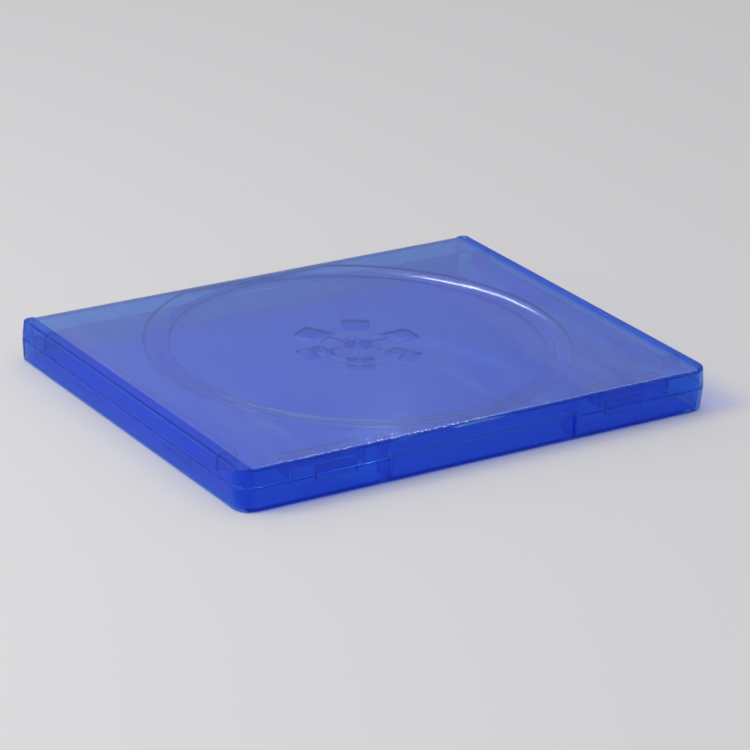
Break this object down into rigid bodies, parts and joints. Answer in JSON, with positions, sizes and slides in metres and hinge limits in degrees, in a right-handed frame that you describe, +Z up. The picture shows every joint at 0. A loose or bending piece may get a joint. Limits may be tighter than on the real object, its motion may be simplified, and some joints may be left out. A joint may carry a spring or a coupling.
{
  "type": "game disc case",
  "caption": "Translucent hinged disc case: back cover with a dished tray and spring-finger hub, plain front cover with booklet tabs, spine on living hinges, clear outer sleeve.",
  "frame": {"origin": "middle of the underside of the closed case", "axes": "+X along the spine, +Y from the opening edge to the spine, +Z up, from the front cover to the back cover"},
  "size_m": [0.17, 0.135, 0.014],
  "materials": {
    "shell": "translucent blue, smooth",
    "sleeve": "clear, glossy film"
  },
  "bodies": {
    "front_cover": {"front_cover": "shell", "front_film": "sleeve"},
    "spine": {"spine": "shell", "spine_film": "sleeve", "front_hinge_web": "shell", "back_hinge_web": "shell"},
    "back_cover": {"back_cover": "shell", "back_film": "sleeve"}
  },
  "joints": [
    {"name": "front_hinge", "type": "hinge", "parent": "front_cover", "child": "spine", "pos_m": [0, 0.0666, 0.0009], "axis": [-1, 0, 0], "range_deg": [0, 90], "deforming": ["front_hinge_web"]},
    {"name": "back_hinge", "type": "hinge", "parent": "spine", "child": "back_cover", "pos_m": [0, 0.0666, 0.0131], "axis": [-1, 0, 0], "range_deg": [0, 90], "deforming": ["back_hinge_web"]}
  ]
}
